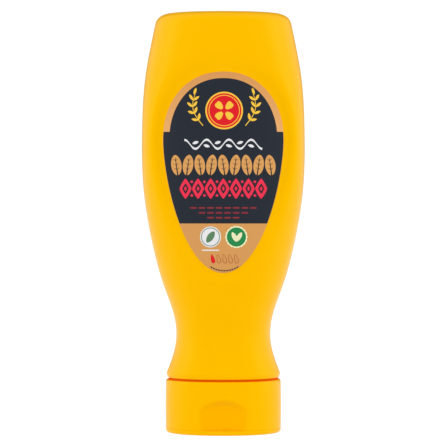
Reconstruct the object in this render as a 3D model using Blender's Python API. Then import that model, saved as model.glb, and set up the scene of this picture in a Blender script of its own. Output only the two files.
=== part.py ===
"""Mustard squeeze bottle that stands upside down on its flip-top cap.

Metres, +Z up. The origin is the middle of the lid's underside, on the table, and the front faces -Y.
"""
import math

import bmesh
import bpy
import numpy as np

# Bottle: height of each station, half-width and half-depth there
STATIONS = [
    (0.0283, 0.0269, 0.0207),
    (0.037, 0.02375, 0.0196),
    (0.047, 0.0223, 0.0192),
    (0.057, 0.02375, 0.0204),
    (0.070, 0.0282, 0.0224),
    (0.090, 0.03385, 0.0248),
    (0.115, 0.0380, 0.0261),
    (0.145, 0.0389, 0.0265),
    (0.170, 0.03715, 0.0262),
    (0.188, 0.03395, 0.0252),
    (0.200, 0.0314, 0.0236),
]
TOTAL_HEIGHT = STATIONS[-1][0]
ROW_STEP = 0.0016
RING_POINTS = 160
FACE_SHARE = 0.165

# Sections are ovals, squarer beside the label than at the waist and the base
OVAL_POWER = 2.2
LABEL_SQUARENESS = 1.2
SQUARE_SPREAD = 0.036

# Closed end of the bottle, which points up: a rounded edge round a dished face
BASE_EDGE_START = 0.195
BASE_EDGE_WIDTH = 0.0064
BASE_EDGE_DEPTH = 0.0106
BASE_EDGE_POWER = 2.3
BASE_EDGE_ROWS = 9
BASE_RIM = 0.0026
BASE_DISH = 0.0012
BASE_DISH_SLOPE = 0.0022
BASE_DISH_POINTS = 40

# Open end: height and inset of the neck, set back in the joint, and of a small tuck under the shoulder
FOOT_ROWS = [
    (0.0253, 0.0014),
    (0.0262, 0.0014),
    (0.0262, 0.0008),
    (0.0265, 0.0004),
    (0.0273, 0.0001),
]

# Label: an egg with its wide end up, cut into the bottle's front and back
LABEL_CENTRE = 0.1384
LABEL_HALF_WIDTH = 0.0284
LABEL_RISE = 0.0322
LABEL_DROP = 0.0619
LABEL_TOP_POWER = 2.15
LABEL_FOOT_POWER = 1.6
LABEL_MARGIN = 0.0005
LABEL_GAP = 0.0003
LABEL_THICKNESS = 0.0003
LABEL_RINGS = 5
LABEL_SPOKES = 44

# Panel round the label: the floor's depth along its middle, its arc across, and its outer ridge
FLOOR_STATIONS = [
    (0.070, 0.0215),
    (0.076, 0.0224),
    (0.110, 0.0244),
    (0.138, 0.0250),
    (0.171, 0.0247),
    (0.186, 0.0244),
]
FLOOR_RADIUS = 0.060
RIDGE_HALF_WIDTH = 0.035
RIDGE_RISE = 0.044
RIDGE_DROP = 0.068

# Cap: an oval skirt, and the lid under it that the bottle stands on
CAP_HALF_WIDTH = 0.0275
CAP_HALF_DEPTH = 0.02125
CAP_TOP = 0.025
CAP_EDGE = 0.0009
CAP_EDGE_ROWS = 3
CAP_BARREL = 0.0002
CAP_SIDE_ROWS = 6
CAP_POINTS = 72
LID_TOP = 0.0023
LID_EDGE = 0.0015
LID_EDGE_ROWS = 4
SEAM = 0.0003

# Thumb recess in the cap's front: straight sides under a low arch, open through the skirt's foot
THUMB_FOOT = 0.001
THUMB_HALF_WIDTH = 0.0112
THUMB_SPRING = 0.0126
THUMB_TOP = 0.0168
THUMB_DEPTH = 0.0019
THUMB_SLOPE = 0.0009
THUMB_ARCH_POINTS = 16

# Hinge strap behind, let into a notch of the cap and the lid
STRAP_HALF_WIDTH = 0.008
STRAP_FOOT = 0.0012
STRAP_TOP = 0.007
STRAP_THICKNESS = 0.001
STRAP_POINTS = 9

YELLOW = (0.98, 0.50, 0.004, 1.0)
LABEL_NAVY = (0.022, 0.028, 0.038, 1.0)
SHARP_ANGLE = math.radians(35)


def clear_scene():
    for thing in list(bpy.data.objects):
        bpy.data.objects.remove(thing, do_unlink=True)


def plastic(name, colour, roughness):
    material = bpy.data.materials.new(name)
    material.use_nodes = True
    shader = material.node_tree.nodes["Principled BSDF"]
    shader.inputs["Base Color"].default_value = colour
    shader.inputs["Roughness"].default_value = roughness
    shader.inputs["Metallic"].default_value = 0.0
    return material


def add_object(name, bm, material):
    mesh = bpy.data.meshes.new(name)
    bmesh.ops.recalc_face_normals(bm, faces=bm.faces)
    bm.to_mesh(mesh)
    bm.free()
    mesh.materials.append(material)
    mesh.shade_smooth()
    mesh.set_sharp_from_angle(angle=SHARP_ANGLE)
    part = bpy.data.objects.new(name, mesh)
    bpy.context.scene.collection.objects.link(part)
    return part


def smooth_curve(stations, heights):
    """Natural cubic spline through the stations, one column for each value after the height."""
    table = np.array(stations)
    knots = table[:, 0]
    values = table[:, 1:]
    steps = np.diff(knots)
    slopes = np.diff(values, axis=0) / steps[:, None]
    system = np.eye(len(knots))
    turns = np.zeros_like(values)
    for i in range(1, len(knots) - 1):
        system[i, i - 1:i + 2] = steps[i - 1], 2 * (steps[i - 1] + steps[i]), steps[i]
        turns[i] = 6 * (slopes[i] - slopes[i - 1])
    bends = np.linalg.solve(system, turns)
    span = np.clip(np.searchsorted(knots, heights) - 1, 0, len(steps) - 1)
    width = steps[span][:, None]
    after = (heights - knots[span])[:, None]
    before = (knots[span + 1] - heights)[:, None]
    cubic = (bends[span] * before ** 3 + bends[span + 1] * after ** 3) / (6 * width)
    start = (values[span] / width - bends[span] * width / 6) * before
    end = (values[span + 1] / width - bends[span + 1] * width / 6) * after
    return cubic + start + end


def section_power(height):
    """How square the bottle's section is: an ellipse has 2."""
    return OVAL_POWER + LABEL_SQUARENESS * math.exp(-((height - LABEL_CENTRE) / SQUARE_SPREAD) ** 2)


def oval(half_width, half_depth, power, count):
    """Points round |x / width| ^ power + |y / depth| ^ power = 1, from an ellipse pushed outwards."""
    turn = np.arange(count) * 2 * math.pi / count
    push = (np.abs(np.cos(turn)) ** power + np.abs(np.sin(turn)) ** power) ** (-1 / power)
    return half_width * push * np.cos(turn), half_depth * push * np.sin(turn)


def egg_level(x, z, half_width, rise, drop):
    """Grows from 0 in the egg's middle to 1 on its outline."""
    up = np.clip(z - LABEL_CENTRE, 0, None) / rise
    down = np.clip(LABEL_CENTRE - z, 0, None) / drop
    across = np.abs(x) / half_width
    upper = across ** LABEL_TOP_POWER + up ** LABEL_TOP_POWER
    lower = across ** 2 + down ** LABEL_FOOT_POWER
    return np.where(z > LABEL_CENTRE, upper, lower)


def floor_depth(x, z):
    """Distance of the label panel's floor from the bottle's middle plane."""
    middle = smooth_curve(FLOOR_STATIONS, np.clip(z, FLOOR_STATIONS[0][0], FLOOR_STATIONS[-1][0]))[:, 0]
    return middle - FLOOR_RADIUS + np.sqrt(FLOOR_RADIUS ** 2 - x ** 2)


def sink_panel(x, y, z):
    """Bottle surface at y, let down to the panel's floor inside the label and back up at the ridge."""
    inner = egg_level(x, z, LABEL_HALF_WIDTH + LABEL_MARGIN, LABEL_RISE + LABEL_MARGIN,
                      LABEL_DROP + LABEL_MARGIN)
    outer = egg_level(x, z, RIDGE_HALF_WIDTH, RIDGE_RISE, RIDGE_DROP)
    past_label = np.clip(inner - 1, 0, None)
    to_ridge = np.clip(1 - outer, 0, None)
    share = past_label / np.maximum(past_label + to_ridge, 1e-9)
    share = np.where(outer >= 1, 1.0, share)
    blend = share ** 2 * (3 - 2 * share)
    depth = np.abs(y)
    sunk = np.minimum(floor_depth(x, z), depth)
    return np.sign(y) * (sunk * (1 - blend) + depth * blend)


def bottle_rows():
    """Height, half-width, half-depth and squareness of each section from the neck to the closed end."""
    shoulder, shoulder_width, shoulder_depth = STATIONS[0]
    rows = []
    for height, inset in FOOT_ROWS:
        rows.append((height, shoulder_width - inset, shoulder_depth - inset, OVAL_POWER))
    count = round((BASE_EDGE_START - shoulder) / ROW_STEP)
    heights = np.linspace(shoulder, BASE_EDGE_START, count + 1)
    for height, (width, depth) in zip(heights, smooth_curve(STATIONS, heights)):
        rows.append((height, width, depth, section_power(height)))
    for turn in np.linspace(0, math.pi / 2, BASE_EDGE_ROWS + 1)[1:]:
        height = BASE_EDGE_START + (TOTAL_HEIGHT - BASE_EDGE_START) * math.sin(turn)
        rows.append((height, *base_edge(height), section_power(height)))
    return rows


def base_edge(height):
    """Half-width and half-depth where the sides round over into the closed end."""
    width, depth = smooth_curve(STATIONS, np.array([height]))[0]
    climb = min((height - BASE_EDGE_START) / (TOTAL_HEIGHT - BASE_EDGE_START), 1.0)
    rounding = 1 - (1 - climb ** BASE_EDGE_POWER) ** (1 / BASE_EDGE_POWER)
    return width - BASE_EDGE_WIDTH * rounding, depth - BASE_EDGE_DEPTH * rounding


def loft(rings):
    """Closed body through rings of points, with a flat face over each end ring."""
    bm = bmesh.new()
    loops = [[bm.verts.new(point) for point in ring] for ring in rings]
    for lower, upper in zip(loops, loops[1:]):
        for i in range(len(lower)):
            j = (i + 1) % len(lower)
            bm.faces.new((lower[i], lower[j], upper[j], upper[i]))
    bm.faces.new(loops[0])
    bm.faces.new(loops[-1])
    return bm


def build_bottle(material):
    rings = []
    for height, width, depth, power in bottle_rows():
        x, y = oval(width, depth, power, RING_POINTS)
        z = np.full(RING_POINTS, height)
        if height > STATIONS[0][0]:
            y = sink_panel(x, y, z)
        rings.append(np.column_stack((x, y, z)))
    bottle = add_object("bottle", loft(rings), material)
    thin = bottle.modifiers.new("fewer_faces", "DECIMATE")
    thin.ratio = FACE_SHARE
    thin.use_symmetry = True
    thin.symmetry_axis = "X"
    cut(bottle, dish_cutter(material))
    return bottle


def dish_cutter(material):
    """Oval plug with sloped sides, which leaves a shallow dish inside the closed end's rim."""
    rim_width, rim_depth = base_edge(TOTAL_HEIGHT)
    rings = []
    for climb in (-1, 1):
        inset = BASE_RIM - climb * BASE_DISH_SLOPE / 2 + BASE_DISH_SLOPE / 2
        x, y = oval(rim_width - inset, rim_depth - inset, OVAL_POWER, BASE_DISH_POINTS)
        rings.append(np.column_stack((x, y, np.full(BASE_DISH_POINTS, TOTAL_HEIGHT + climb * BASE_DISH))))
    return add_object("dish_cutter", loft(rings), material)


def cap_half_size(height):
    """The skirt swells a little at mid height."""
    middle = CAP_TOP / 2
    swell = CAP_BARREL * ((height - middle) / middle) ** 2
    return CAP_HALF_WIDTH - swell, CAP_HALF_DEPTH - swell


def cap_rings(rows):
    rings = []
    for height, inset in rows:
        width, depth = cap_half_size(height)
        x, y = oval(width - inset, depth - inset, OVAL_POWER, CAP_POINTS)
        rings.append(np.column_stack((x, y, np.full(CAP_POINTS, height))))
    return rings


def cut(part, cutter):
    """Take the cutter's shape out of the part, and keep the cutter as a hidden wire guide."""
    cutter.hide_render = True
    cutter.display_type = "WIRE"
    boolean = part.modifiers.new("cut_" + cutter.name, "BOOLEAN")
    boolean.operation = "DIFFERENCE"
    boolean.solver = "EXACT"
    boolean.object = cutter


def thumb_cutter(material):
    """Prism on the arch, whose walls open outwards so that the recess has sloped edges."""
    outline = [(THUMB_HALF_WIDTH, THUMB_FOOT)]
    for turn in np.linspace(0, math.pi, THUMB_ARCH_POINTS + 1):
        rise = (THUMB_TOP - THUMB_SPRING) * math.sin(turn)
        outline.append((THUMB_HALF_WIDTH * math.cos(turn), THUMB_SPRING + rise))
    outline.append((-THUMB_HALF_WIDTH, THUMB_FOOT))
    floor = -CAP_HALF_DEPTH + THUMB_DEPTH
    rings = []
    for out in (0.0, 2.0):
        spread = THUMB_SLOPE * (out * 2 - 1)
        rings.append([(x + math.copysign(spread, x), floor - out * THUMB_DEPTH, z + spread)
                      for x, z in outline])
    return add_object("thumb_cutter", loft(rings), material)


def box(name, low, high, material):
    x0, y0, z0 = low
    x1, y1, z1 = high
    rings = [[(x0, y0, z), (x1, y0, z), (x1, y1, z), (x0, y1, z)] for z in (z0, z1)]
    return add_object(name, loft(rings), material)


def notch_cutter(name, foot, top, material):
    floor = CAP_HALF_DEPTH - STRAP_THICKNESS - SEAM
    side = STRAP_HALF_WIDTH + SEAM
    dip = CAP_HALF_DEPTH - oval_depth(STRAP_HALF_WIDTH)
    return box(name, (-side, floor - dip, foot), (side, 2 * CAP_HALF_DEPTH, top), material)


def oval_depth(x):
    """Half-depth of the cap's outline at the given x."""
    return CAP_HALF_DEPTH * (1 - (abs(x) / CAP_HALF_WIDTH) ** OVAL_POWER) ** (1 / OVAL_POWER)


def build_cap(material):
    foot = LID_TOP + SEAM
    rows = [(height, 0.0) for height in np.linspace(foot, CAP_TOP - CAP_EDGE, CAP_SIDE_ROWS + 1)]
    for turn in np.linspace(0, math.pi / 2, CAP_EDGE_ROWS + 1)[1:]:
        rows.append((CAP_TOP - CAP_EDGE * (1 - math.sin(turn)), CAP_EDGE * (1 - math.cos(turn))))
    cap = add_object("cap", loft(cap_rings(rows)), material)
    cut(cap, thumb_cutter(material))
    cut(cap, notch_cutter("cap_notch", foot - SEAM / 2, STRAP_TOP + SEAM, material))
    return cap


def build_lid(material):
    """The lower plate, with a round edge where it stands on the table."""
    rows = []
    for turn in np.linspace(0, math.pi / 2, LID_EDGE_ROWS + 1):
        rows.append((LID_EDGE * (1 - math.cos(turn)), LID_EDGE * (1 - math.sin(turn))))
    rows.append((LID_TOP, 0.0))
    lid = add_object("flip_lid", loft(cap_rings(rows)), material)
    cut(lid, notch_cutter("lid_notch", STRAP_FOOT - SEAM, LID_TOP + SEAM / 2, material))
    return lid


def build_strap(material):
    """Living hinge: a curved strip, flush with the cap's back."""
    across = np.linspace(-STRAP_HALF_WIDTH, STRAP_HALF_WIDTH, STRAP_POINTS)
    outer = [(x, oval_depth(x) - CAP_BARREL) for x in across]
    inner = [(x, oval_depth(x) - CAP_BARREL - STRAP_THICKNESS) for x in reversed(across)]
    rings = [[(x, y, z) for x, y in outer + inner] for z in (STRAP_FOOT, STRAP_TOP)]
    return add_object("cap_hinge", loft(rings), material)


def label_outline():
    """Points round the egg: an even turn about its middle, each pushed out to where the level is 1."""
    turn = (np.arange(LABEL_SPOKES) + 0.5) * 2 * math.pi / LABEL_SPOKES
    x = LABEL_HALF_WIDTH * np.cos(turn)
    reach = np.where(np.sin(turn) > 0, LABEL_RISE, LABEL_DROP)
    z = reach * np.sin(turn)
    low = np.zeros(LABEL_SPOKES)
    high = np.full(LABEL_SPOKES, 2.0)
    for _ in range(30):
        middle = (low + high) / 2
        inside = egg_level(x * middle, LABEL_CENTRE + z * middle, LABEL_HALF_WIDTH, LABEL_RISE,
                           LABEL_DROP) < 1
        low = np.where(inside, middle, low)
        high = np.where(inside, high, middle)
    return x * low, z * low


def build_label(name, side, material):
    """Thin skin on the panel's floor. Side is -1 for the front and 1 for the back."""
    edge_x, edge_z = label_outline()
    rings = []
    outwards = np.arange(1, LABEL_RINGS + 1) / LABEL_RINGS
    inner_face = [(share, LABEL_GAP) for share in outwards]
    outer_face = [(share, LABEL_GAP + LABEL_THICKNESS) for share in reversed(outwards)]
    for share, lift in inner_face + outer_face:
        x = edge_x * share
        z = LABEL_CENTRE + edge_z * share
        rings.append(np.column_stack((x, side * (floor_depth(x, z) + lift), z)))
    return add_object(name, loft(rings), material)


def build():
    clear_scene()
    build_bottle(plastic("bottle_plastic", YELLOW, 0.35))
    build_cap(plastic("cap_plastic", YELLOW, 0.3))
    build_lid(plastic("lid_plastic", YELLOW, 0.3))
    build_strap(plastic("strap_plastic", YELLOW, 0.3))
    build_label("front_label", -1, plastic("front_label_film", LABEL_NAVY, 0.4))
    build_label("back_label", 1, plastic("back_label_film", LABEL_NAVY, 0.4))


build()
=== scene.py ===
"""Mustard squeeze bottle on its flip-top cap: the finish of every surface."""

import math

import bmesh
import bpy
import numpy as np
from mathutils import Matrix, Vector


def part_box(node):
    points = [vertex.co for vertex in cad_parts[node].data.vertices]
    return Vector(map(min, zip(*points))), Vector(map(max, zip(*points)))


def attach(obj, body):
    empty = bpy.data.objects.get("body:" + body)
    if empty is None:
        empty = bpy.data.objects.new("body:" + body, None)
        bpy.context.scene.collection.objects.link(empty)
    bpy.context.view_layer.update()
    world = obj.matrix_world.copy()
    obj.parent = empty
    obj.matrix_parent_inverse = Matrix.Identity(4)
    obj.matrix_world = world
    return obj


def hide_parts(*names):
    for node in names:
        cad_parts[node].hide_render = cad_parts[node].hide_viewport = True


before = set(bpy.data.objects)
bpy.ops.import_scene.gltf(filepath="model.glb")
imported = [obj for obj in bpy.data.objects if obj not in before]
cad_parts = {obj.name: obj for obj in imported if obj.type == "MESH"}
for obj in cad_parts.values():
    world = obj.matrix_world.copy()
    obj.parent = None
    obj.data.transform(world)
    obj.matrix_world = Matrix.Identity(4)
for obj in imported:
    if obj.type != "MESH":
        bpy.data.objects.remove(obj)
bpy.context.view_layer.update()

# The studio: a white paper sweep in a white tent, with a tall soft box at each side. The camera stands level,
# just under a metre away. The tent is dimmer round the camera, and behind and above the bottle.

camera_distance = 0.9
camera_height = 0.0997
camera_aside = 0.00008
view_width = 0.2145
sensor_width = 36.0
nearest_seen = 0.05

camera = bpy.data.objects.new("camera", bpy.data.cameras.new("camera"))
camera.data.sensor_width = sensor_width
camera.data.lens = sensor_width * camera_distance / view_width
camera.data.clip_start = nearest_seen
camera.location = (camera_aside, -camera_distance, camera_height)
camera.rotation_euler = (math.radians(90), 0, 0)
bpy.context.scene.collection.objects.link(camera)
bpy.context.scene.camera = camera

tent_light = 1.06
seen_white = 1.06
# Where the tent is dimmer: a direction, the lean towards it where that starts and ends, and the light left
dim_parts = (
    ((0, -1, 0), 0.6, 0.98, 0.64),
    ((0, 1, 0), 0.2, 0.8, 0.75),
    ((0, 0.87, 0.5), 0.7, 0.94, 0.1),
    ((0, 0.25, 0.97), 0.8, 0.97, 0.55),
)
box_power, right_box_share = 3.15, 1.1
box_size = (0.5, 1.3)
box_aside, box_forward, box_height = 1.1, -0.4, 0.35

world = bpy.data.worlds.new("white_tent")
world.use_nodes = True
bpy.context.scene.world = world
tent, tent_links = world.node_tree.nodes, world.node_tree.links
direction = tent.new("ShaderNodeTexCoord")


def tent_falloff(towards, start, end, end_share):
    """Share of the light by how far a direction leans towards another, eased from 1 at start to end_share."""
    lean = tent.new("ShaderNodeVectorMath")
    lean.operation = "DOT_PRODUCT"
    lean.inputs[1].default_value = towards
    tent_links.new(direction.outputs["Generated"], lean.inputs[0])
    span = tent.new("ShaderNodeMapRange")
    span.interpolation_type = "SMOOTHSTEP"
    span.inputs["From Min"].default_value = start
    span.inputs["From Max"].default_value = end
    span.inputs["To Min"].default_value = 1.0
    span.inputs["To Max"].default_value = end_share
    tent_links.new(lean.outputs["Value"], span.inputs["Value"])
    return span.outputs["Result"]


def product(first, second):
    """Node that multiplies an output by another output or by a number."""
    made = tent.new("ShaderNodeMath")
    made.operation = "MULTIPLY"
    tent_links.new(first, made.inputs[0])
    if isinstance(second, float):
        made.inputs[1].default_value = second
    else:
        tent_links.new(second, made.inputs[1])
    return made.outputs[0]


level = tent_falloff(*dim_parts[0])
for dim_part in dim_parts[1:]:
    level = product(level, tent_falloff(*dim_part))
level = product(level, tent_light)
light_path = tent.new("ShaderNodeLightPath")
strength = tent.new("ShaderNodeMix")
strength.inputs["B"].default_value = seen_white
tent_links.new(light_path.outputs["Is Camera Ray"], strength.inputs["Factor"])
tent_links.new(level, strength.inputs["A"])
tent_links.new(strength.outputs["Result"], tent["Background"].inputs["Strength"])
tent["Background"].inputs["Color"].default_value = (1.0, 1.0, 1.0, 1.0)
bpy.context.scene.view_settings.view_transform = "Standard"


def soft_box(name, place, size, power):
    """Area light at a place, turned towards the bottle's middle."""
    lamp = bpy.data.lights.new(name, "AREA")
    lamp.shape = "RECTANGLE"
    lamp.size, lamp.size_y = size
    lamp.energy = power
    holder = bpy.data.objects.new(name, lamp)
    holder.location = place
    aim = Vector((0, 0, camera_height)) - holder.location
    holder.rotation_euler = aim.to_track_quat("-Z", "Y").to_euler()
    bpy.context.scene.collection.objects.link(holder)


soft_box("left_box", (-box_aside, box_forward, box_height), box_size, box_power)
soft_box("right_box", (box_aside, box_forward, box_height), box_size, box_power * right_box_share)

floor_half = 6.0
paper_grey = (0.35, 0.35, 0.35, 1.0)
paper_roughness, paper_gloss = 0.9, 0.1
paper_light, paper_seen = 0.6, 0.85
floor_mesh = bpy.data.meshes.new("paper_sweep")
floor_mesh.from_pydata([(-floor_half, -floor_half, 0), (floor_half, -floor_half, 0),
                        (floor_half, floor_half, 0), (-floor_half, floor_half, 0)], [], [(0, 1, 2, 3)])
floor = bpy.data.objects.new("paper_sweep", floor_mesh)
bpy.context.scene.collection.objects.link(floor)
paper = bpy.data.materials.new("white_paper")
paper.use_nodes = True
paper_shader = paper.node_tree.nodes["Principled BSDF"]
paper_path = paper.node_tree.nodes.new("ShaderNodeLightPath")
paper_glow = paper.node_tree.nodes.new("ShaderNodeMix")
paper_glow.inputs["A"].default_value = paper_light
paper_glow.inputs["B"].default_value = paper_seen
paper.node_tree.links.new(paper_path.outputs["Is Camera Ray"], paper_glow.inputs["Factor"])
paper.node_tree.links.new(paper_glow.outputs["Result"], paper_shader.inputs["Emission Strength"])
paper_shader.inputs["Base Color"].default_value = paper_grey
paper_shader.inputs["Roughness"].default_value = paper_roughness
paper_shader.inputs["Specular IOR Level"].default_value = paper_gloss
paper_shader.inputs["Emission Color"].default_value = (1.0, 1.0, 1.0, 1.0)
floor_mesh.materials.append(paper)

# The bottle is blown from soft yellow plastic in a two-part mould, and stands on its neck end.
# Its section is an oval, squarer at the belly, and front and back have an egg-shaped panel for a label.
# The mould leaves a fine line down each side and a pinched bead across the dished closed end.

# Height, half-width and half-depth of the bottle at its stations
bottle_stations = [
    (0.0282, 0.02715, 0.0207),
    (0.037, 0.0240, 0.0196),
    (0.047, 0.0225, 0.0192),
    (0.057, 0.0240, 0.0204),
    (0.070, 0.02855, 0.0224),
    (0.090, 0.0340, 0.0248),
    (0.115, 0.03805, 0.0261),
    (0.145, 0.0388, 0.0265),
    (0.170, 0.0373, 0.0262),
    (0.188, 0.0341, 0.0252),
    (0.200, 0.0316, 0.0236),
]
# Height and depth of the label panel's floor, up its middle
floor_stations = [(0.070, 0.0215), (0.076, 0.0224), (0.110, 0.0244), (0.138, 0.0250), (0.171, 0.0247),
                  (0.186, 0.0244)]
shoulder = bottle_stations[0][0]
bottle_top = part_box("bottle")[1].z
oval_power = 2.2
label_squareness = 1.2
square_spread = 0.036
edge_start, edge_width, edge_depth, edge_power = 0.195, 0.0064, 0.0106, 2.3
neck_foot, neck_inset, neck_fillet, shoulder_foot = 0.02523, 0.0010, 0.0003, 0.02618
tuck, tuck_round = 0.0003, 0.0005
egg_centre, egg_half_width, egg_rise, egg_drop = 0.1384, 0.0284, 0.0322, 0.0619
egg_top_power, egg_foot_power = 2.15, 1.6
panel_margin = 0.0005
panel_radius = 0.076
ridge_half_width, ridge_rise, ridge_drop = 0.0365, 0.044, 0.068
dish_rim, dish_slope, dish_depth, dish_reach = 0.0026, 0.0022, 0.0012, 0.97
bead_height, bead_width, bead_reach, bead_fade = 0.0004, 0.0004, 0.019, 0.003
parting_height, parting_width = 0.00007, 0.00016
around, side_crowding = 336, 0.86
hair = 1e-6


def smooth_curve(stations, heights):
    """Natural cubic spline through (height, values...) stations, read at the heights."""
    table = np.array(stations)
    knots, values = table[:, 0], table[:, 1:]
    steps = np.diff(knots)
    slopes = np.diff(values, axis=0) / steps[:, None]
    system = np.eye(len(knots))
    turns = np.zeros_like(values)
    for i in range(1, len(knots) - 1):
        system[i, i - 1:i + 2] = steps[i - 1], 2 * (steps[i - 1] + steps[i]), steps[i]
        turns[i] = 6 * (slopes[i] - slopes[i - 1])
    bends = np.linalg.solve(system, turns)
    heights = np.clip(heights, knots[0], knots[-1])
    span = np.clip(np.searchsorted(knots, heights) - 1, 0, len(steps) - 1)
    width = steps[span][..., None]
    after = (heights - knots[span])[..., None]
    before = width - after
    cubic = (bends[span] * before ** 3 + bends[span + 1] * after ** 3) / (6 * width)
    start = (values[span] / width - bends[span] * width / 6) * before
    end = (values[span + 1] / width - bends[span + 1] * width / 6) * after
    return cubic + start + end


def ease(share):
    """Smooth step: 0 below 0, 1 above 1, with level ends."""
    share = np.clip(share, 0, 1)
    return share * share * (3 - 2 * share)


def egg_level(x, z, half_width, rise, drop):
    """0 in the egg's middle and 1 on its outline: a superellipse above the centre, a blunt point below."""
    up = np.clip(z - egg_centre, 0, None) / rise
    down = np.clip(egg_centre - z, 0, None) / drop
    across = np.abs(x) / half_width
    return np.where(z > egg_centre, across ** egg_top_power + up ** egg_top_power,
                    across ** 2 + down ** egg_foot_power)


def panel_depth(x, z):
    """How far the label panel's floor is from the bottle's middle plane: a spline up it, an arc across it."""
    middle = smooth_curve(floor_stations, z)[..., 0]
    return middle - panel_radius + np.sqrt(panel_radius ** 2 - x ** 2)


def sink_panel(x, y, z):
    """The blown oval at y, let down to the panel's floor inside the egg and eased up to a ridge round it."""
    inner = egg_level(x, z, egg_half_width + panel_margin, egg_rise + panel_margin, egg_drop + panel_margin)
    outer = egg_level(x, z, ridge_half_width, ridge_rise, ridge_drop)
    past_label = np.clip(inner - 1, 0, None)
    to_ridge = np.clip(1 - outer, 0, None)
    blend = ease(np.where(outer >= 1, 1.0, past_label / np.maximum(past_label + to_ridge, 1e-9)))
    depth = np.abs(y)
    sunk = np.minimum(panel_depth(x, z), depth)
    return np.sign(y) * (sunk * (1 - blend) + depth * blend)


def oval(half_width, half_depth, power, turn):
    """An ellipse pushed outwards until |x / width| ^ power + |y / depth| ^ power is 1."""
    push = (np.abs(np.cos(turn)) ** power + np.abs(np.sin(turn)) ** power) ** (-1 / power)
    return half_width * push * np.cos(turn), half_depth * push * np.sin(turn)


def tube_faces(rows, columns):
    """Quads of a grid that closes on itself across, with a fan to one point more at each end."""
    i, j = np.meshgrid(np.arange(rows - 1), np.arange(columns), indexing="ij")
    k = (j + 1) % columns
    quads = np.stack((i * columns + j, i * columns + k, (i + 1) * columns + k, (i + 1) * columns + j), -1)
    low = np.arange(columns)
    after = (low + 1) % columns
    top = (rows - 1) * columns
    foot_fan = np.stack((np.full(columns, rows * columns), after, low), -1)
    top_fan = np.stack((np.full(columns, rows * columns + 1), top + low, top + after), -1)
    return quads.reshape(-1, 4).tolist() + foot_fan.tolist() + top_fan.tolist()


def add_piece(mesh, material, crease):
    """An object of the mesh, shaded smooth but sharp past the crease angle, that rides on the body."""
    mesh.materials.append(material)
    mesh.shade_smooth()
    mesh.set_sharp_from_angle(angle=math.radians(crease))
    piece = bpy.data.objects.new(mesh.name, mesh)
    bpy.context.scene.collection.objects.link(piece)
    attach(piece, "root")
    return piece


def add_tube(name, points, material, crease=35):
    """Closed skin over rings of points (rows by columns by 3), with a point in the middle of each end."""
    vertices = np.vstack((points.reshape(-1, 3), points[0].mean(0), points[-1].mean(0)))
    mesh = bpy.data.meshes.new(name)
    mesh.from_pydata(vertices.tolist(), [], tube_faces(*points.shape[:2]))
    return add_piece(mesh, material, crease)


def crowded_turns(count, crowding):
    """Angles round a section, closer together where it meets the X axis when crowding is above 0."""
    even = (np.arange(count) + 0.5) * 2 * math.pi / count
    return even - crowding * np.sin(2 * even) / 2


# Height and inset of the lowest rows: the neck over its fillet, then the shoulder's rounded foot and tuck
foot_width, foot_depth = bottle_stations[0][1:]
arc = np.linspace(0, math.pi / 2, 6)
neck_rows = np.column_stack((neck_foot + neck_fillet * (1 - np.cos(arc)),
                             neck_inset - neck_fillet * (1 - np.sin(arc))))
foot_rows = np.column_stack((shoulder_foot + tuck_round * (1 - np.cos(arc)),
                             tuck + tuck_round * (1 - np.sin(arc))))
foot_end = foot_rows[-1, 0]
tuck_heights = np.linspace(foot_end, shoulder, 6)[1:-1]
tuck_rows = np.column_stack((tuck_heights, tuck * ((shoulder - tuck_heights) / (shoulder - foot_end)) ** 2))
inset_rows = np.vstack((neck_rows, (shoulder_foot, neck_inset), foot_rows, tuck_rows))

# Height, half-width, half-depth and squareness of every row, with the sides rounding over into the end
side_heights = np.linspace(shoulder, edge_start, 176)
edge_heights = edge_start + (bottle_top - edge_start) * np.sin(np.linspace(0, math.pi / 2, 15)[1:])
body_heights = np.concatenate((side_heights, edge_heights))
climb = np.clip((body_heights - edge_start) / (bottle_top - edge_start), 0, 1)
rounding = 1 - (1 - climb ** edge_power) ** (1 / edge_power)
body_half = smooth_curve(bottle_stations, body_heights)
body_half = body_half - rounding[:, None] * np.array((edge_width, edge_depth))
end_width, end_depth = body_half[-1]
inward_steps = (np.linspace(0, dish_rim, 4)[1:], dish_rim + np.linspace(0, dish_slope, 7)[1:],
                np.linspace(dish_rim + dish_slope, end_depth * dish_reach, 14)[1:])
dish_share = 1 - np.concatenate(inward_steps) / end_depth
row_height = np.concatenate((inset_rows[:, 0], body_heights, np.full(len(dish_share), bottle_top)))
row_width = np.concatenate((foot_width - inset_rows[:, 1], body_half[:, 0], end_width * dish_share))
row_depth = np.concatenate((foot_depth - inset_rows[:, 1], body_half[:, 1], end_depth * dish_share))
row_power = oval_power + label_squareness * np.exp(-((row_height - egg_centre) / square_spread) ** 2)

turn = crowded_turns(around, side_crowding)[None, :]
skin_x, skin_y = oval(row_width[:, None], row_depth[:, None], row_power[:, None], turn)
skin_z = np.broadcast_to(row_height[:, None], skin_x.shape).copy()
below_end = skin_z < bottle_top - hair
skin_y = np.where((skin_z > shoulder) & below_end, sink_panel(skin_x, skin_y, skin_z), skin_y)

# Parting line down the sides, then the dish and its pinched bead on the closed end
parting = parting_height * np.exp(-(skin_y / parting_width) ** 2) * (skin_z > shoulder_foot + tuck_round)
skin_x = skin_x + np.sign(skin_x) * parting * below_end
in_end = np.arange(len(row_height)) >= len(inset_rows) + len(body_heights)
inwards = np.where(in_end, end_depth - row_depth, 0)[:, None]
let_in = ease((inwards - dish_rim) / dish_slope)
bead = bead_height * np.exp(-(skin_y / bead_width) ** 2) * ease((bead_reach - np.abs(skin_x)) / bead_fade)
skin_z = skin_z + (bead - dish_depth) * let_in
skin = np.stack((skin_x, skin_y, skin_z), -1)


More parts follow.
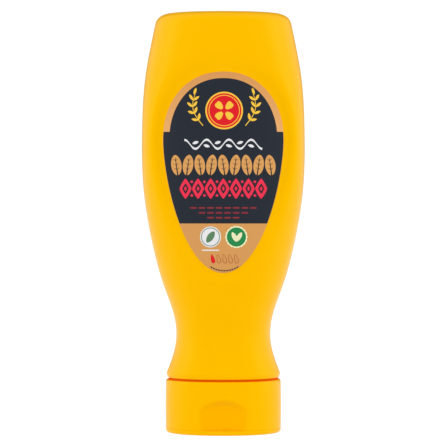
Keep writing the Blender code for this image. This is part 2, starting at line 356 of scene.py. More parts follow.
mustard_yellow = (0.98, 0.5, 0.0, 1.0)
yellow_glint = (1.0, 0.6, 0.0, 1.0)
# Painted shade: this orange is painted into the joint between bottle neck and cap, for the light trapped in
# that crevice.
joint_shade_orange = (0.82, 0.12, 0.0, 1.0)
joint_height, joint_reach = (neck_foot + shoulder_foot) / 2, 0.0007
no_joint = 10.0
plastic_ior = 1.37
cloud_scale, streak_scale, streak_share = 28.0, 140.0, 0.12


def moulded_surface_group():
    """Node group for moulded plastic: a faint clouding of the colour and roughness, and a skin normal.

    The clouding is broad noise in the piece's own coordinates. The normal adds a slow waviness, left by
    the mould's cooling, to a fine orange-peel grain. In the joint between bottle and cap the colour is
    painted a deeper orange as painted shade for the light trapped in that crevice, and the gloss goes."""
    group = bpy.data.node_groups.new("moulded_surface", "ShaderNodeTree")
    for name in ("Color", "Joint Shade Color"):
        group.interface.new_socket(name=name, in_out="INPUT", socket_type="NodeSocketColor")
    for name, value in (("Joint Height", no_joint), ("Clouding", 0.03), ("Roughness", 0.3),
                        ("Wave Scale", 60.0), ("Wave Height", 0.0001),
                        ("Grain Scale", 2200.0), ("Grain Height", 0.00001)):
        setting = group.interface.new_socket(name=name, in_out="INPUT", socket_type="NodeSocketFloat")
        setting.default_value = value
    for name, kind in (("Color", "NodeSocketColor"), ("Roughness", "NodeSocketFloat"),
                       ("Normal", "NodeSocketVector")):
        group.interface.new_socket(name=name, in_out="OUTPUT", socket_type=kind)
    nodes, links = group.nodes, group.links
    given = nodes.new("NodeGroupInput")
    result = nodes.new("NodeGroupOutput")
    place = nodes.new("ShaderNodeTexCoord")

    def noise(scale, detail):
        """Noise of a scale, or of the scale given to the group under a name."""
        made = nodes.new("ShaderNodeTexNoise")
        made.inputs["Detail"].default_value = detail
        links.new(place.outputs["Object"], made.inputs["Vector"])
        if isinstance(scale, str):
            links.new(given.outputs[scale], made.inputs["Scale"])
        else:
            made.inputs["Scale"].default_value = scale
        return made.outputs["Fac"]

    def math_node(kind, first, second):
        """Math node of one kind, fed with two outputs or numbers."""
        made = nodes.new("ShaderNodeMath")
        made.operation = kind
        for end, value in zip(made.inputs, (first, second)):
            if isinstance(value, float):
                end.default_value = value
            else:
                links.new(value, end)
        return made.outputs[0]

    clouds = noise(cloud_scale, 3.0)
    swing = math_node("MULTIPLY", math_node("SUBTRACT", clouds, 0.5), given.outputs["Clouding"])
    heights = nodes.new("ShaderNodeSeparateXYZ")
    links.new(place.outputs["Object"], heights.inputs[0])
    off = math_node("SUBTRACT", heights.outputs["Z"], given.outputs["Joint Height"])
    in_joint = nodes.new("ShaderNodeMapRange")
    in_joint.interpolation_type = "SMOOTHSTEP"
    in_joint.inputs["From Min"].default_value = joint_reach
    in_joint.inputs["From Max"].default_value = joint_reach * 0.85
    links.new(math_node("ABSOLUTE", off, 0.0), in_joint.inputs["Value"])
    # Painted shade: near the joint height the colour is mixed towards the joint's orange.
    joint_shade_mix = nodes.new("ShaderNodeMix")
    joint_shade_mix.data_type = "RGBA"
    links.new(in_joint.outputs["Result"], joint_shade_mix.inputs["Factor"])
    links.new(given.outputs["Color"], joint_shade_mix.inputs["A"])
    links.new(given.outputs["Joint Shade Color"], joint_shade_mix.inputs["B"])
    bright = nodes.new("ShaderNodeHueSaturation")
    links.new(joint_shade_mix.outputs["Result"], bright.inputs["Color"])
    links.new(math_node("ADD", swing, 1.0), bright.inputs["Value"])
    links.new(bright.outputs["Color"], result.inputs["Color"])
    streaks = math_node("MULTIPLY", math_node("SUBTRACT", noise(streak_scale, 4.0), 0.5), streak_share)
    streaked = math_node("ADD", given.outputs["Roughness"], streaks)
    links.new(math_node("MAXIMUM", streaked, in_joint.outputs["Result"]), result.inputs["Roughness"])
    wave = nodes.new("ShaderNodeBump")
    links.new(noise("Wave Scale", 1.0), wave.inputs["Height"])
    links.new(given.outputs["Wave Height"], wave.inputs["Distance"])
    grain = nodes.new("ShaderNodeBump")
    links.new(noise("Grain Scale", 2.0), grain.inputs["Height"])
    links.new(given.outputs["Grain Height"], grain.inputs["Distance"])
    links.new(wave.outputs["Normal"], grain.inputs["Normal"])
    links.new(grain.outputs["Normal"], result.inputs["Normal"])
    return group


moulded_surface = moulded_surface_group()


def surfaced_material(name, settings):
    """Principled material whose colour, roughness and normal come from the moulded surface group."""
    material = bpy.data.materials.new(name)
    material.use_nodes = True
    shader = material.node_tree.nodes["Principled BSDF"]
    surface = material.node_tree.nodes.new("ShaderNodeGroup")
    surface.node_tree = moulded_surface
    for key, value in settings.items():
        surface.inputs[key].default_value = value
    for given, taken in (("Color", "Base Color"), ("Roughness", "Roughness"), ("Normal", "Normal")):
        material.node_tree.links.new(surface.outputs[given], shader.inputs[taken])
    return material, shader, surface


def moulded_plastic(name, settings):
    """Mustard-yellow plastic, whose straight-on reflection is tinted yellow."""
    material, shader, surface = surfaced_material(name, {"Color": mustard_yellow, **settings})
    shader.inputs["Specular Tint"].default_value = yellow_glint
    shader.inputs["IOR"].default_value = plastic_ior
    return material, surface


# The bottle's band at the cap joint gets the painted shade orange.
bottle_plastic = moulded_plastic("bottle_plastic", {
    "Clouding": 0.03, "Roughness": 0.3, "Joint Shade Color": joint_shade_orange, "Joint Height": joint_height})[0]
bottle_skin = add_tube("bottle_skin", skin, bottle_plastic)
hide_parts("bottle")

# The cap is injection moulded in the same yellow, a little glossier, and pushes over the neck.
# Its front has a shallow thumb recess under a low arch, whose floor is painted a slightly deeper yellow as
# painted shade, and its back a notch for the hinge strap.

cap_half_width, cap_half_depth = 0.0277, 0.02125
seam_closing, first_row = 0.0003, 0.0003
cap_low, cap_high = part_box("cap")[0].z - seam_closing, neck_foot
cap_edge, cap_foot_edge, cap_barrel = 0.0009, 0.00004, 0.0002
cap_around, corner_crowding = 400, -0.45
thumb_half_width, thumb_spring, thumb_top = 0.0114, 0.0130, 0.0174
thumb_depth = 0.0015
thumb_slopes, thumb_lead = (0.0028, 0.0038), 0.15
# Edges over which the recess floor's painted shade fades out, across and up
thumb_shade_edges = 0.0012, 0.0014
strap_half_width, strap_foot, strap_top, strap_thickness = 0.008, 0.0012, 0.007, 0.001
strap_gap = 0.00022
notch_slope = 0.00012
# Painted shade: the recess floor is coloured this slightly deeper yellow.
recess_shade_yellow = (0.98, 0.46, 0.0, 1.0)


def cap_outline_depth(x):
    """Half-depth of the cap's oval at x."""
    return cap_half_depth * (1 - np.clip(np.abs(x) / cap_half_width, 0, 1) ** oval_power) ** (1 / oval_power)


def thumb_share(points, across, up):
    """1 on the recess floor, 0 outside its sides and its parabolic arch, eased over slopes across and up."""
    x, y, z = np.moveaxis(points, -1, 0)
    arch = thumb_spring + (thumb_top - thumb_spring) * (1 - (x / thumb_half_width) ** 2)
    sides = ease((thumb_half_width - np.abs(x)) / across + thumb_lead)
    return sides * ease((arch - z) / up) * (y < 0)


def notch_share(x, z, foot, top):
    """1 inside the strap's notch, 0 outside, over a narrow edge."""
    inside = np.minimum(strap_half_width + strap_gap - np.abs(x), np.minimum(z - foot, top - z))
    return ease(inside / notch_slope + 0.5)


def cap_surface(z, inset, turn, notch):
    """Rings of the cap's oval at heights z, swollen at mid height, with the recess and the notch let in."""
    middle = cap_high / 2
    swell = cap_barrel * ((z - middle) / middle) ** 2 + inset
    x, y = oval((cap_half_width - swell)[:, None], (cap_half_depth - swell)[:, None], oval_power,
                turn[None, :])
    z = np.broadcast_to(z[:, None], x.shape)
    share = thumb_share(np.stack((x, y, z), -1), *thumb_slopes)
    y = y * (1 - share) - np.minimum(cap_half_depth - thumb_depth, np.abs(y)) * share
    back = np.where(y > 0, notch_share(x, z, *notch), 0)
    y = y - back * (strap_thickness + strap_gap)
    return np.stack((x, y, z), -1)


cap_turn = crowded_turns(cap_around, corner_crowding)
arc = np.linspace(0, math.pi / 2, 5)
cap_side = np.linspace(cap_low + first_row, cap_high - cap_edge, 106)[:-1]
cap_z = np.concatenate((cap_low + cap_foot_edge * (1 - np.cos(arc)), cap_side,
                        cap_high - cap_edge * (1 - np.sin(arc))))
cap_inset = np.concatenate((cap_foot_edge * (1 - np.sin(arc)), 0 * cap_side, cap_edge * (1 - np.cos(arc))))
cap_points = cap_surface(cap_z, cap_inset, cap_turn, (0.0, strap_top + strap_gap))
cap_plastic, cap_surfacing = moulded_plastic("cap_plastic", {
    "Clouding": 0.02, "Roughness": 0.25, "Wave Height": 0.00003})
cap_nodes = cap_plastic.node_tree.nodes
# Painted shade: a share at each point mixes the recess floor towards the deeper yellow.
recess_shade = cap_nodes.new("ShaderNodeAttribute")
recess_shade.attribute_name = "recess_shade"
recess_shaded_mix = cap_nodes.new("ShaderNodeMix")
recess_shaded_mix.data_type = "RGBA"
recess_shaded_mix.inputs["A"].default_value = mustard_yellow
recess_shaded_mix.inputs["B"].default_value = recess_shade_yellow
cap_plastic.node_tree.links.new(recess_shade.outputs["Fac"], recess_shaded_mix.inputs["Factor"])
cap_plastic.node_tree.links.new(recess_shaded_mix.outputs["Result"], cap_surfacing.inputs["Color"])
cap_skirt = add_tube("cap_skirt", cap_points, cap_plastic)
# The share of painted shade at each point of the skirt, none at the two end points.
recess_shade_layer = cap_skirt.data.attributes.new("recess_shade", "FLOAT", "POINT")
recess_shade_shares = np.append(thumb_share(cap_points, *thumb_shade_edges), (0, 0))
recess_shade_layer.data.foreach_set("value", recess_shade_shares.astype(np.float32))
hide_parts("cap")

# The lid is the cap's lower plate, which the bottle stands on. Its lower edge is rounded, it closes on the
# skirt with a hairline seam, and its rim stands free over the thumb recess, so that a thumb can lift it.

lid_edge, lid_top_edge, lid_seam = 0.00125, 0.00005, 0.00004
lid_high = cap_low - lid_seam
arc = np.linspace(0, math.pi / 2, 9)
lid_z = np.concatenate((lid_edge * (1 - np.cos(arc)), lid_high - lid_top_edge * (1 - np.sin(arc[::2]))))
lid_inset = np.concatenate((lid_edge * (1 - np.sin(arc)), lid_top_edge * (1 - np.cos(arc[::2]))))
swell = cap_barrel * ((lid_z - cap_high / 2) / (cap_high / 2)) ** 2 + lid_inset
lid_x, lid_y = oval((cap_half_width - swell)[:, None], (cap_half_depth - swell)[:, None], oval_power,
                    cap_turn[None, :])
lid_rows = np.broadcast_to(lid_z[:, None], lid_x.shape)
lid_notch = np.where(lid_y > 0, notch_share(lid_x, lid_rows, strap_foot - strap_gap, 1.0), 0)
lid_points = np.stack((lid_x, lid_y - lid_notch * (strap_thickness + strap_gap), lid_rows), -1)
lid_plate = add_tube("lid_plate", lid_points, cap_plastic)
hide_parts("flip_lid")

# The hinge is a thin strap of the same plastic at the back, flush in its notch, which joins skirt and lid.
# Two shallow grooves run across it, where the real strap folds.

strap_groove, strap_groove_width, groove_place = 0.00025, 0.0003, 0.0006
strap_edge = 0.0003


def edge_fall(inwards):
    """How far a rounded edge falls away at a distance in from it: a quarter circle, then nothing."""
    past = np.clip(strap_edge - inwards, 0, strap_edge)
    return strap_edge - np.sqrt(strap_edge ** 2 - past ** 2)


strap_x = np.linspace(-strap_half_width, strap_half_width, 49)
strap_z = np.linspace(strap_foot, strap_top, 61)
side_fall = edge_fall(strap_half_width - np.abs(strap_x))
end_fall = edge_fall(np.minimum(strap_z - strap_foot, strap_top - strap_z))
groove = sum(strap_groove * np.exp(-((strap_z - z) / strap_groove_width) ** 2)
             for z in (cap_low - groove_place, cap_low + groove_place))
face_y = (cap_outline_depth(strap_x) - cap_barrel - side_fall)[None, :] - (end_fall + groove)[:, None]
back_y = np.broadcast_to(cap_outline_depth(strap_x) - cap_barrel - strap_thickness, face_y.shape)
ring_x = np.concatenate((strap_x[::-1], strap_x))
ring_y = np.concatenate((face_y[:, ::-1], back_y), axis=1)
strap_points = np.stack((np.broadcast_to(ring_x, ring_y.shape), ring_y,
                         np.broadcast_to(strap_z[:, None], ring_y.shape)), -1)
hinge_strap = add_tube("hinge_strap", strap_points, cap_plastic)
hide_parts("cap_hinge")

# The front label is a thin printed film, moulded onto the panel's floor, with a rounded edge.
# Its ground is a warm tan, with a painted highlight: lightest at the height of the ends of the ring round the
# top.

mm = 0.001
film_thickness = 0.22 * mm
film_edge = 0.2 * mm
film_sink = 0.05 * mm
ink_step = 0.03 * mm
label_side = {"front": -1, "back": 1}
label_around, face_rings, edge_rings, under_rings = 240, 34, 5, 12
label_core = 0.02
film_roughness, film_gloss = 0.36, 0.2
film_surface = {"Clouding": 0.05, "Wave Height": 0.00003, "Grain Scale": 3500.0, "Grain Height": 0.000006}
film_crease = 50


def egg_outline(turn, inset=0.0):
    """Points where rays at angles turn from the egg's middle leave the inset egg, found by halving."""
    sizes = egg_half_width - inset, egg_rise - inset, egg_drop - inset
    x, z = sizes[0] * np.cos(turn), np.where(np.sin(turn) > 0, sizes[1], sizes[2]) * np.sin(turn)
    low, high = np.zeros_like(turn), np.full_like(turn, 2.0)
    for _ in range(40):
        middle = (low + high) / 2
        inside = egg_level(x * middle, egg_centre + z * middle, *sizes) < 1
        low, high = np.where(inside, middle, low), np.where(inside, high, middle)
    return x * low, egg_centre + z * low


def on_label(x, z, lift, side):
    """Flat label coordinates, as read from that side, laid on the panel's floor and lifted off it."""
    facing = label_side[side]
    return np.stack((-facing * x, facing * (panel_depth(x, z) + lift), z), -1)


def film_material(name, colours, roughness=film_roughness):
    """Satin film of one colour, or of colours blended between (height, colour) stops."""
    material, shader, surface = surfaced_material(name, {"Roughness": roughness, **film_surface})
    shader.inputs["Specular IOR Level"].default_value = film_gloss
    if len(colours) == 4:
        surface.inputs["Color"].default_value = colours
    else:
        nodes, links = material.node_tree.nodes, material.node_tree.links
        place = nodes.new("ShaderNodeTexCoord")
        split = nodes.new("ShaderNodeSeparateXYZ")
        span = nodes.new("ShaderNodeMapRange")
        ramp = nodes.new("ShaderNodeValToRGB")
        low_height, high_height = colours[0][0], colours[-1][0]
        span.inputs["From Min"].default_value = low_height
        span.inputs["From Max"].default_value = high_height
        stops = ramp.color_ramp.elements
        while len(stops) < len(colours):
            stops.new(0.5)
        for stop, (height, colour) in zip(stops, colours):
            stop.position = (height - low_height) / (high_height - low_height)
            stop.color = colour
        links.new(place.outputs["Object"], split.inputs[0])
        links.new(split.outputs["Z"], span.inputs["Value"])
        links.new(span.outputs["Result"], ramp.inputs["Fac"])
        links.new(ramp.outputs["Color"], surface.inputs["Color"])
    return material


def add_label(name, node, material, side):
    """An egg of film: rings from its middle out over the face, down the rounded edge and back underneath."""
    edge_x, edge_z = egg_outline((np.arange(label_around) + 0.5) * 2 * math.pi / label_around)
    if side == "back":
        edge_x, edge_z = edge_x[::-1], edge_z[::-1]
    edge_share = film_edge / egg_half_width
    face = np.concatenate((np.linspace(label_core, 1 - edge_share, face_rings),
                           1 - edge_share * np.linspace(0.8, 0, edge_rings)))
    lift = film_thickness * np.sqrt(1 - np.clip(1 - (1 - face) / edge_share, 0, 1) ** 2)
    share = np.concatenate((face, np.linspace(1, label_core, under_rings)))[::-1, None]
    lift = np.concatenate((lift, np.full(under_rings, -film_sink)))[::-1, None]
    points = on_label(edge_x * share, egg_centre + (edge_z - egg_centre) * share, lift, side)
    film = add_tube(name, points, material, film_crease)
    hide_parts(node)


def linear(red, green, blue):
    """Shader colour of a 0 to 255 screen colour: a power of 2.4, and a straight line in the darkest part."""
    screen = np.array((red, green, blue)) / 255
    return (*np.where(screen > 0.04045, ((screen + 0.055) / 1.055) ** 2.4, screen / 12.92), 1.0)


tan_foot = linear(214, 154, 86)
# Painted highlight: the tan is lighter at the height of the ring's ends, blending down to the foot and up to
# the crown.
tan_ring_highlight = linear(232, 172, 106)
tan_crown = linear(214, 150, 84)
tan_film = film_material("tan_film", ((100 * mm, tan_foot), (142 * mm, tan_ring_highlight), (171 * mm, tan_crown)))
add_label("front_label_film", "front_label", tan_film, "front")

# The dark field is the first ink on the film. It leaves the tan ring round the top, steps out to the
# label's full width at the ring's ends, and stops at a straight edge above the tan foot.

navy = linear(28, 35, 46)
ring_width = 3.05 * mm
ring_foot = 142.7 * mm
navy_foot = 99.7 * mm
navy_margin = 0.16 * mm
navy_middle = 132 * mm
navy_roughness = 0.42
ink_reach = 1.2 * mm
ink_weld, corner_gap = 1e-7, 1e-4


def ink_rows(outline, core, hollow):
    """Blends an outline into its core, a point, line or inner outline, in steps no longer than ink_reach."""
    core = np.stack(np.broadcast_arrays(*core, outline[0])[:2], -1)
    outline = np.stack(outline, -1)
    longest = np.linalg.norm(outline - core, axis=-1).max()
    share = np.linspace(0, 1, max(2, math.ceil(longest / ink_reach) + 1))[:, None, None]
    return outline * (1 - share) + core * share, hollow


def solid(outline, core=None):
    """A filled shape, closed over its core, which is its middle where none is given."""
    middle = np.mean(outline, axis=1)
    return ink_rows(outline, (middle[0], middle[1]) if core is None else core, False)


def band(outline, inner):
    """The strip between two outlines."""
    return ink_rows(outline, inner, True)


def add_ink(name, shapes, layer, material, side="front"):
    """Closed skins of ink on the film, one for each shape: its face, its edge and its underside.

    The face lies layer ink steps above the film, and the underside one step below the film's face."""
    vertices, faces, start = [], [], 0
    for rows, hollow in shapes:
        face = on_label(rows[..., 0], rows[..., 1], film_thickness + layer * ink_step, side)
        under = on_label(rows[::-1, :, 0], rows[::-1, :, 1], film_thickness - ink_step, side)
        skin = np.concatenate((face, under))
        count, columns = skin.shape[:2]
        strips = np.arange(count) if hollow else np.delete(np.arange(count), count // 2 - 1)
        i, j = np.meshgrid(strips, np.arange(columns), indexing="ij")
        k, below = (j + 1) % columns, (i + 1) % count
        quads = np.stack((i * columns + j, i * columns + k, below * columns + k, below * columns + j), -1)
        vertices.append(skin.reshape(-1, 3))
        faces.append(quads.reshape(-1, 4) + start)
        start += count * columns
    mesh = bpy.data.meshes.new(name)
    mesh.from_pydata(np.concatenate(vertices).tolist(), [], np.concatenate(faces).tolist())
    merged = bmesh.new()
    merged.from_mesh(mesh)
    bmesh.ops.remove_doubles(merged, verts=merged.verts, dist=ink_weld)
    bmesh.ops.recalc_face_normals(merged, faces=merged.faces)
    merged.to_mesh(mesh)
    merged.free()
    piece = add_piece(mesh, material, film_crease)


def navy_inside(x, z):
    """Inside the ring above its foot, inside the label below it, and above the straight edge."""
    within = [egg_level(x, z, egg_half_width - inset, egg_rise - inset, egg_drop - inset) < 1
              for inset in (ring_width, navy_margin)]
    return np.where(z > ring_foot, within[0], within[1]) & (z > navy_foot)


def navy_outline():
    """Rays from the field's middle, even ones and close pairs at its corners, cut where they leave it."""
    step_out = [egg_outline(np.linspace(-1.4, 1.4, 4000), inset) for inset in (ring_width, navy_margin)]
    corners = [(x[np.argmin(np.abs(z - height))], height)
               for (x, z), height in zip((*step_out, step_out[1]), (ring_foot, ring_foot, navy_foot))]
    sharp = [math.atan2(z - navy_middle, side * x) + aside for x, z in corners for side in (-1, 1)
             for aside in (-corner_gap, corner_gap)]
    turn = np.sort(np.concatenate((np.linspace(-math.pi, math.pi, 481)[1:], sharp)))
    low, high = np.zeros_like(turn), np.full_like(turn, 0.08)
    for _ in range(40):
        middle = (low + high) / 2
        inside = navy_inside(middle * np.cos(turn), navy_middle + middle * np.sin(turn))
        low, high = np.where(inside, middle, low), np.where(inside, high, middle)
    return low * np.cos(turn), navy_middle + low * np.sin(turn)


navy_ink = film_material("navy_ink", navy, navy_roughness)
add_ink("navy_field", [solid(navy_outline(), (0, navy_middle))], 1, navy_ink)

# The emblem at the top is a round red medallion with gold rims and a four-petalled mustard blossom,
# between two gold sprigs. All of it is opaque ink over the dark field.

emblem_x, emblem_z = 0.4 * mm, 152.4 * mm
medallion_radius = 8.8 * mm
medallion_rim = 0.75 * mm
inner_ring = (1.5 * mm, 1.85 * mm)
petal_length, petal_width, petal_place = 4.5 * mm, 4.2 * mm, 3.15 * mm
petal_notch, notch_width, petal_taper = 0.16, 0.35, 0.28
heart_radius = 1.25 * mm
sprig_start, sprig_end, sprig_bow = (9.9 * mm, -7.0 * mm), (13.6 * mm, 7.8 * mm), 2.72 * mm
sprig_leaf, sprig_fan, sprig_tip = (3.3 * mm, 1.25 * mm), 0.75, 1.3 * mm
sprig_pen, sprig_thinning = 0.42 * mm, 0.4


def even_turns(count):
    """Even angles once round."""
    return np.arange(count) * 2 * math.pi / count


def turned(x, z, across, along, tilt):
    """Where points across and along a shape come to lie about (x, z) when the shape is turned by tilt."""
    return (x + across * math.cos(tilt) - along * math.sin(tilt),
            z + across * math.sin(tilt) + along * math.cos(tilt))


def disc(x, z, radius, points=64):
    """A circle's outline."""
    turn = even_turns(points)
    return x + radius * np.cos(turn), z + radius * np.sin(turn)


def leaf(x, z, length, width, tilt, bluntness=1.7, points=32):
    """A leaf over its midrib: along it a cosine, across it a power of a sine, turned by tilt from upright."""
    turn = even_turns(points)
    along = length / 2 * np.cos(turn)
    across = -width / 2 * np.sign(np.sin(turn)) * np.abs(np.sin(turn)) ** bluntness
    return solid(turned(x, z, across, along, tilt), turned(x, z, 0, along * 0.98, tilt))


def stroke(x, z, width):
    """A pen line along a path: its outline runs up one side and down the other, about the path itself."""
    slope_x, slope_z = np.gradient(x), np.gradient(z)
    length = np.hypot(slope_x, slope_z)
    out_x, out_z = -slope_z / length * width / 2, slope_x / length * width / 2
    outline = (np.concatenate((x + out_x, (x - out_x)[::-1])), np.concatenate((z + out_z, (z - out_z)[::-1])))
    return solid(outline, (np.concatenate((x, x[::-1])), np.concatenate((z, z[::-1]))))


def petal(angle):
    """A broad rounded petal with a shallow notch at its tip, pointing away from the blossom's middle."""
    turn = even_turns(48)
    notch = petal_notch * np.exp(-(np.sin(turn) / notch_width) ** 2) * (np.cos(turn) > 0)
    along = petal_length / 2 * np.cos(turn) * (1 - notch)
    across = petal_width / 2 * np.sin(turn) * (1 - petal_taper + petal_taper * np.cos(turn))
    return solid(turned(emblem_x, emblem_z, petal_place + along, across, angle))


red_ink = film_material("red_ink", linear(222, 20, 30))
gold_ink = film_material("gold_ink", linear(248, 198, 62))
blossom = [petal(math.pi / 4 + k * math.pi / 2) for k in range(4)]
blossom.append(band(*(disc(emblem_x, emblem_z, medallion_radius - inset) for inset in inner_ring)))
add_ink("medallion_rim", [solid(disc(emblem_x, emblem_z, medallion_radius))], 2, gold_ink)
add_ink("medallion_ground", [solid(disc(emblem_x, emblem_z, medallion_radius - medallion_rim))], 3, red_ink)
add_ink("medallion_blossom", blossom, 4, gold_ink)
add_ink("medallion_heart", [solid(disc(emblem_x, emblem_z, heart_radius, 32))], 5, red_ink)

sprigs = []
for facing in (-1, 1):
    s = np.linspace(0, 1, 25)
    stem_x = sprig_start[0] + (sprig_end[0] - sprig_start[0]) * s + sprig_bow * np.sin(math.pi * s)
    stem_z = sprig_start[1] + (sprig_end[1] - sprig_start[1]) * s
    sprigs.append(stroke(emblem_x + facing * stem_x, emblem_z + stem_z, sprig_pen * (1 - sprig_thinning * s)))
    lean = np.arctan2(np.gradient(stem_x), np.gradient(stem_z))
    for at in (4, 9, 14, 19):
        for fan in (-sprig_fan, sprig_fan):
            tilt = -(lean[at] + fan)
            reach = sprig_leaf[0] * 0.55
            sprigs.append(leaf(emblem_x + facing * (stem_x[at] - reach * math.sin(tilt)),
                               emblem_z + stem_z[at] + reach * math.cos(tilt), *sprig_leaf, facing * tilt))
    sprigs.append(leaf(emblem_x + facing * stem_x[-1], emblem_z + stem_z[-1] + sprig_tip, *sprig_leaf,
                       -facing * lean[-1]))
add_ink("emblem_sprigs", sprigs, 2, gold_ink)

# Below the emblem a white vine runs across in one pen line, thicker in some parts than in others, with a
# small leaf in the hollow of each bend.

vine_half, vine_z, vine_swing, vine_waves = 18.2 * mm, 136.7 * mm, 2.1 * mm, 3.5
vine_pen, vine_swell = 0.72 * mm, 0.26 * mm
vine_leaf, vine_leaf_place, vine_leaf_lean = (3.0 * mm, 1.35 * mm), 0.36, 0.3

white_ink = film_material("white_ink", linear(232, 232, 234))
s = np.linspace(-1, 1, 181)
vine_phase = s * vine_waves * math.pi
vine = [stroke(vine_half * s, vine_z + vine_swing * np.sin(vine_phase),
               vine_pen - vine_swell * np.cos(2 * vine_phase))]
for k in range(-3, 3):
    bend = (k + 0.5) * math.pi
    side = math.sin(bend)
    vine.append(leaf(vine_half * bend / math.pi / vine_waves, vine_z - vine_leaf_place * vine_swing * side,
                     *vine_leaf, math.pi / 2 - vine_leaf_lean * side))
add_ink("white_vine", vine, 2, white_ink)

# The first frieze is a row of nine upright mustard leaves in tan, each with a dark midrib and side veins.

leaf_count, leaf_pitch, leaf_z = 9, 5.5 * mm, 127.0 * mm
leaf_size, leaf_lean, leaf_bluntness = (9.7 * mm, 4.9 * mm), 0.14, 1.2
rib_width, rib_foot, rib_tip = 0.5 * mm, -0.5, 0.36
vein_width, vein_length, vein_rise, vein_places = 0.24 * mm, 1.5 * mm, 0.75, (-0.22, 0.0, 0.22)

tan_ink = film_material("tan_ink", linear(218, 158, 88))
leaves, ribs = [], []
for k in range(leaf_count):
    place = (k - (leaf_count - 1) / 2) * leaf_pitch
    tilt = leaf_lean * (-1) ** k
    leaves.append(leaf(place, leaf_z, *leaf_size, tilt, leaf_bluntness, 40))
    s = np.linspace(rib_foot, rib_tip, 12)
    ribs.append(stroke(*turned(place, leaf_z, 0, leaf_size[0] * s, tilt), rib_width * (0.75 - s)))
    for height in vein_places:
        for facing in (-1, 1):
            reach = np.linspace(0.05, 1, 6) * vein_length * (1 - abs(height))
            across, along = facing * reach, height * leaf_size[0] + vein_rise * reach
            ribs.append(stroke(*turned(place, leaf_z, across, along, tilt),
                               vein_width * (1.1 - reach / vein_length)))
add_ink("leaf_frieze", leaves, 2, tan_ink)
add_ink("leaf_veins", ribs, 3, navy_ink)

# The second frieze is a row of seven upright lozenges in bright pink-red, each an open one round a small
# one, with a dot at the waist between neighbours.

lozenge_count, lozenge_pitch, lozenge_z = 7, 5.9 * mm, 116.0 * mm
lozenge_size, lozenge_hole, lozenge_heart = (5.7 * mm, 9.6 * mm), (2.9 * mm, 4.9 * mm), (1.3 * mm, 2.2 * mm)
lozenge_power = 1.18
dot_radius, dot_place = 0.62 * mm, 3.2 * mm


def lozenge(x, width, height, points=64):
    """A diamond with slightly full sides and soft corners: a superellipse of a low power."""
    across, along = oval(width / 2, height / 2, lozenge_power, even_turns(points))
    return x + across, lozenge_z + along


pink_ink = film_material("pink_ink", linear(236, 44, 76))
lozenges = []
for k in range(lozenge_count):
    place = (k - (lozenge_count - 1) / 2) * lozenge_pitch
    lozenges.append(band(lozenge(place, *lozenge_size), lozenge(place, *lozenge_hole)))
    lozenges.append(solid(lozenge(place, *lozenge_heart)))
for k in range(lozenge_count - 1):
    place = (k - (lozenge_count - 2) / 2) * lozenge_pitch
    for z in (lozenge_z - dot_place, lozenge_z + dot_place):
        lozenges.append(solid(disc(place, z, dot_radius, 24)))
add_ink("lozenge_frieze", lozenges, 2, pink_ink)

# Three lines of short dark-red bars narrow towards the foot of the dark field.

bar_lines = ((107.0 * mm, 8), (104.7 * mm, 6), (102.4 * mm, 4))
bar_length, bar_gap, bar_height = 3.1 * mm, 0.9 * mm, 0.75 * mm


def bar(x, z, length, height):
    """A bar with round ends, closed over its middle line; its long sides follow the label in short steps."""
    straight = (length - height) / 2
    end = np.linspace(-math.pi / 2, math.pi / 2, 12)
    run = np.linspace(straight, -straight, math.ceil(2 * straight / ink_reach) + 2)[1:-1]
    out, up = height / 2 * np.cos(end), height / 2 * np.sin(end)
    across = np.concatenate((straight + out, run, -straight - out, -run))
    level = np.concatenate((up, 0 * run + height / 2, -up, 0 * run - height / 2))
    return solid((x + across, z + level), (x + np.clip(across, -straight, straight), z))


maroon_ink = film_material("maroon_ink", linear(141, 41, 53))
bars = []
for line_z, count in bar_lines:
    for k in range(count):
        bars.append(bar((k - (count - 1) / 2) * (bar_length + bar_gap), line_z, bar_length, bar_height))
add_ink("maroon_bars", bars, 2, maroon_ink)

# On the tan foot are two round badges: a white one with a thin ring and a green leaf, and a green one
# with a scalloped cream rim and a pair of cream leaves. A short white bar stands under the first.

badge_z = 93.4 * mm
white_badge_x, green_badge_x = -6.0 * mm, 6.1 * mm
badge_radius = 4.9 * mm
badge_ring = (0.5 * mm, 0.85 * mm)
badge_rim_out, badge_rim_in = 0.35 * mm, 0.45 * mm
scallops, scallop_depth = 18, 0.3 * mm
white_bar_z, white_bar_size = 87.2 * mm, (8.0 * mm, 0.55 * mm)
white_badge_leaf, white_leaf_lean = (6.2 * mm, 3.0 * mm), -0.6
green_badge_leaf, green_leaf_places = (5.0 * mm, 2.1 * mm), ((-0.9 * mm, 0.45), (1.2 * mm, -0.55))
badge_bluntness = 1.3


def scalloped(x, z, radius, points=216):
    """A circle whose edge swings in and out in even scallops, as the size of a cosine does."""
    turn = even_turns(points)
    reach = radius - scallop_depth * (1 - np.abs(np.cos(scallops / 2 * turn)))
    return x + reach * np.cos(turn), z + reach * np.sin(turn)


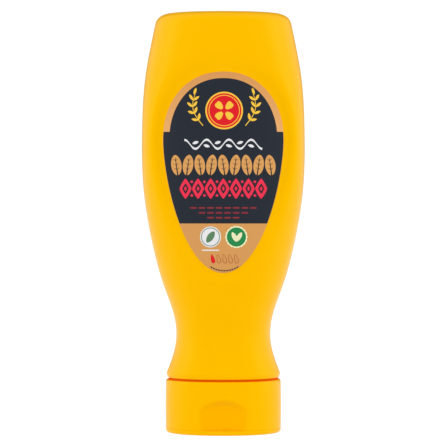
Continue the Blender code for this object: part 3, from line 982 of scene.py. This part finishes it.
leaf_ink = film_material("leaf_green_ink", linear(92, 132, 96))
green_ink = film_material("green_ink", linear(30, 135, 72))
cream_ink = film_material("cream_ink", linear(235, 235, 190))
add_ink("white_badge", [solid(disc(white_badge_x, badge_z, badge_radius)),
                        bar(white_badge_x, white_bar_z, *white_bar_size)], 1, white_ink)
thin_ring = band(*(disc(white_badge_x, badge_z, badge_radius - inset) for inset in badge_ring))
white_badge_mark = leaf(white_badge_x, badge_z, *white_badge_leaf, white_leaf_lean, badge_bluntness)
add_ink("white_badge_mark", [thin_ring, white_badge_mark], 2, leaf_ink)
add_ink("green_badge_rim", [solid(scalloped(green_badge_x, badge_z, badge_radius + badge_rim_out))], 1,
        cream_ink)
add_ink("green_badge", [solid(disc(green_badge_x, badge_z, badge_radius - badge_rim_in))], 2, green_ink)
add_ink("green_badge_mark", [leaf(green_badge_x + aside, badge_z, *green_badge_leaf, tilt, badge_bluntness)
                             for aside, tilt in green_leaf_places], 3, cream_ink)

# The heat scale is a row of five drops, the first filled in red and the others only drawn round.
# A thin dashed arc closes the label at its lowest point.

drop_z, drop_pitch, drop_size = 83.2 * mm, 2.75 * mm, (4.4 * mm, 2.0 * mm)
drop_count, drop_line, drop_lean, drop_taper = 5, 0.28 * mm, 0.25, 0.45
foot_aside = 0.5 * mm
arc_radius, arc_middle_z, arc_reach, arc_dashes, arc_pen = 12.0 * mm, 89.6 * mm, 0.58, 11, 0.6 * mm


def drop(x, size, points=48):
    """A leaning drop: an ellipse that narrows by a cosine towards its upper end and swells below."""
    turn = even_turns(points)
    along = size[0] / 2 * np.cos(turn)
    across = -size[1] / 2 * np.sin(turn) * (1 - drop_taper * np.cos(turn)) / 1.12
    return turned(x, drop_z, across, along, drop_lean)


brown_ink = film_material("brown_ink", linear(86, 54, 36))
rust_ink = film_material("rust_ink", linear(178, 84, 46))
drop_places = (np.arange(drop_count) - (drop_count - 1) / 2) * drop_pitch + foot_aside
inner_size = (drop_size[0] - 2 * drop_line, drop_size[1] - 2 * drop_line)
add_ink("heat_mark", [solid(drop(drop_places[0], drop_size))], 1, red_ink)
add_ink("heat_scale", [band(drop(place, drop_size), drop(place, inner_size)) for place in drop_places[1:]], 1,
        rust_ink)
dashes = []
for k in range(arc_dashes):
    s = (k + np.linspace(0.12, 0.88, 6)) / arc_dashes * 2 - 1
    angle = -math.pi / 2 + arc_reach * s
    dashes.append(stroke(foot_aside + arc_radius * np.cos(angle), arc_middle_z + arc_radius * np.sin(angle),
                         arc_pen))
add_ink("foot_arc", dashes, 1, brown_ink)

# The back label has the same film and dark field. The photo doesn't show it, so its print is plain:
# a gold bar as a heading, lines of thin bars, and a bare white panel on the tan foot.

text_top, text_pitch, text_lines, text_height = 150.0 * mm, 2.7 * mm, 16, 0.7 * mm
text_margin, line_shares = 6.5 * mm, (1.0, 0.94, 0.98, 0.7)
heading_z, heading_size = 157.0 * mm, (26.0 * mm, 1.8 * mm)
panel_z, panel_size = 90.5 * mm, (19.0 * mm, 8.6 * mm)

add_label("back_label_film", "back_label", tan_film, "back")
add_ink("back_navy_field", [solid(navy_outline(), (0, navy_middle))], 1, navy_ink, "back")
add_ink("back_heading", [bar(0, heading_z, *heading_size)], 2, gold_ink, "back")
text_bars = []
for k in range(text_lines):
    line_z = text_top - k * text_pitch
    below = max(egg_centre - line_z, 0) / egg_drop
    reach = egg_half_width * (1 - below ** egg_foot_power) ** 0.5 - text_margin
    length = 2 * reach * line_shares[k % 4]
    text_bars.append(bar(length / 2 - reach, line_z, length, text_height))
add_ink("back_text_bars", text_bars, 2, tan_ink, "back")
add_ink("back_white_panel", [bar(0, panel_z, *panel_size)], 1, white_ink, "back")
